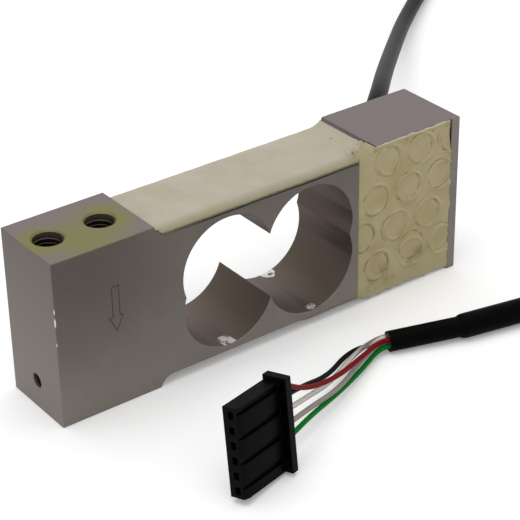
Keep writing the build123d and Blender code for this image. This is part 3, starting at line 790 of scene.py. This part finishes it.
# The five cores: PVC over stranded copper, each 0.85 mm across, from the sleeve to the
# connector, their shine uneven by 1.7 mm. The clear one lets light through its wall.
core_diameter = 0.00085
core_routes = {
    "red": ("#780c16", 0.0472, [
        (16.99, -23.62, 2.6), (14.35, -22.71, 2.53), (11.7, -21.79, 2.46),
        (5.1, -24.9, 3.5), (-3.0, -28.8, 5.1), (-11.8, -32.2, 8.2),
        (-19.02, -34.73, 13.71), (-21.02, -35.34, 13.87), (-24.83, -36.51, 14.19),
    ]),
    "black": ("#060606", 0.0479, [
        (17.47, -22.31, 1.53), (14.83, -21.4, 1.46), (12.18, -20.48, 1.39),
        (5.3, -21.5, 2.9), (-3.1, -26.6, 4.2), (-11.4, -30.4, 7.7),
        (-19.1, -35.13, 11.24), (-21.1, -35.74, 11.41), (-24.92, -36.9, 11.72),
    ]),
    "clear": ("#d9d4cb", 0.0469, [
        (17.35, -22.59, 2.65), (14.7, -21.67, 2.58), (12.06, -20.76, 2.51),
        (5.4, -22.8, 3.1), (-2.9, -27.2, 3.3), (-11.2, -31.3, 6.0),
        (-19.18, -35.53, 8.78), (-21.18, -36.14, 8.94), (-25.0, -37.3, 9.25),
    ]),
    "white": ("#a39c94", 0.0463, [
        (17.2, -23.08, 1.91), (14.55, -22.16, 1.84), (11.9, -21.25, 1.77),
        (5.3, -24.45, 2.3), (-2.5, -28.8, 2.7), (-11.3, -32.0, 4.3),
        (-19.26, -35.92, 6.31), (-21.27, -36.53, 6.47), (-25.08, -37.7, 6.79),
    ]),
    "green": ("#067a28", 0.0458, [
        (16.96, -23.8, 1.43), (14.31, -22.89, 1.36), (11.67, -21.97, 1.3),
        (5.3, -24.9, 1.0), (-2.7, -28.7, 1.8), (-11.2, -32.6, 3.4),
        (-19.35, -36.32, 3.84), (-21.35, -36.93, 4.01), (-25.16, -38.09, 4.32),
    ]),
}
for number, (colour, (code, length, route)) in enumerate(core_routes.items(), 1):
    pvc, shader, place = new_material(colour + "_pvc")
    core_cloud = add(pvc, "ShaderNodeTexNoise", {"Vector": place, "Scale": 600.0, "Detail": 2.0})
    uneven_shine(pvc, shader, core_cloud, 0.25, 0.4)
    shader.inputs["Base Color"].default_value = linear(code)
    shader.inputs["Specular IOR Level"].default_value = 0.04
    core = flexible(colour + "_core", route, core_diameter)
    core.data.materials.append(pvc)
    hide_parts("wire_" + colour)
    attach(core, "root")
    if colour == "clear":
        shader.inputs["Transmission Weight"].default_value = 0.85
        shader.inputs["IOR"].default_value = 1.45

# The connector: black nylon, moulded in one piece, with a row of cavities, polarising
# slots along its wide side and a latching flange at its back. Its shine varies by 1.4 mm.
nylon, shader, place = new_material("black_nylon")
nylon_cloud = add(nylon, "ShaderNodeTexNoise", {"Vector": place, "Scale": 700.0, "Detail": 4.0})
uneven_shine(nylon, shader, nylon_cloud, 0.35, 0.5)
shader.inputs["Base Color"].default_value = linear("#050608")
shader.inputs["Specular IOR Level"].default_value = 0.04
housing = copied("crimp_housing", "connector_housing")
break_edges(housing, 0.00007, ())
housing.data.materials.clear()
housing.data.materials.append(nylon)

# The crimp contacts: stamped from tinned bronze strip and closed round each core, bright
# and slightly cloudy by 0.7 mm.
tin, shader, place = new_material("tinned_bronze")
tin_cloud = add(tin, "ShaderNodeTexNoise", {"Vector": place, "Scale": 1500.0})
uneven_shine(tin, shader, tin_cloud, 0.2, 0.4)
shader.inputs["Base Color"].default_value = linear("#b9b4aa")
shader.inputs["Metallic"].default_value = 1.0
give(tin, *["crimp_contact_" + str(number) for number in range(1, 6)])

# The floor and the light: a pale sweep of card under a broad soft lamp, in a bright room.
# Card and room are brighter to look at than they are as light, as the photograph has them.


def looked_at(owner):
    """1 for what is seen, directly, in a reflection or through glass, and 0 for what only gives light."""
    path = add(owner, "ShaderNodeLightPath", {})
    seen = 0.0
    for ray in ("Is Camera Ray", "Is Glossy Ray", "Is Transmission Ray"):
        seen = add(owner, "ShaderNodeMath", {0: seen, 1: path.outputs[ray]}, operation="MAXIMUM").outputs[0]
    return seen


bpy.ops.mesh.primitive_plane_add(size=6.0, location=(0, 0, 0))
floor = bpy.context.object
floor.name = "floor"
card, shader, place = new_material("white_card")
shader.inputs["Roughness"].default_value = 0.9
shader.inputs["Specular IOR Level"].default_value = 0.0
seen = looked_at(card)
card_colour = add(card, "ShaderNodeMix", {
    "Factor": seen,
    "A": linear("#a8a8a8"),
    "B": linear("#ffffff"),
}, data_type="RGBA")
card.node_tree.links.new(card_colour.outputs["Result"], shader.inputs["Base Color"])
card_glow = add(card, "ShaderNodeMath", {0: seen, 1: 0.15}, operation="MULTIPLY")
card.node_tree.links.new(card_glow.outputs[0], shader.inputs["Emission Strength"])
shader.inputs["Emission Color"].default_value = linear("#ffffff")
floor.data.materials.append(card)

world = bpy.data.worlds.new("bright_room")
bpy.context.scene.world = world
world.use_nodes = True
room = world.node_tree.nodes["Background"]
level = add(world, "ShaderNodeMapRange", {"Value": looked_at(world), "To Min": 0.72, "To Max": 1.0})
world.node_tree.links.new(level.outputs["Result"], room.inputs["Strength"])
room.inputs["Color"].default_value = linear("#ffffff")

lamp = bpy.data.lights.new("overhead_softbox", "AREA")
lamp.shape = "RECTANGLE"
lamp.size = 0.9
lamp.size_y = 0.7
lamp.energy = 2.8
softbox = bpy.data.objects.new("overhead_softbox", lamp)
softbox.location = (-0.08, 0.08, 0.9)
softbox.rotation_euler = (Vector((0, 0, 0)) - softbox.location).to_track_quat("-Z", "Y").to_euler()
bpy.context.scene.collection.objects.link(softbox)

# The camera, fitted to the bar's edges in the photograph: a long lens from the front left,
# looking down at 30 degrees.
camera_data = bpy.data.cameras.new("photograph")
camera_data.sensor_width = 36.0
camera_data.lens = 126.81
camera_data.clip_start = 0.01
camera_data.clip_end = 20.0
camera = bpy.data.objects.new("photograph", camera_data)
bpy.context.scene.collection.objects.link(camera)
camera_right = Vector((0.80047, -0.59919, -0.01491))
camera_up = Vector((0.31004, 0.39265, 0.86585))
camera_back = Vector((-0.51295, -0.69771, 0.50008))
turn = Matrix((camera_right, camera_up, camera_back)).transposed().to_4x4()
camera.matrix_world = Matrix.Translation((-0.157486, -0.218686, 0.168222)) @ turn
bpy.context.scene.camera = camera
bpy.context.scene.view_settings.view_transform = "Standard"
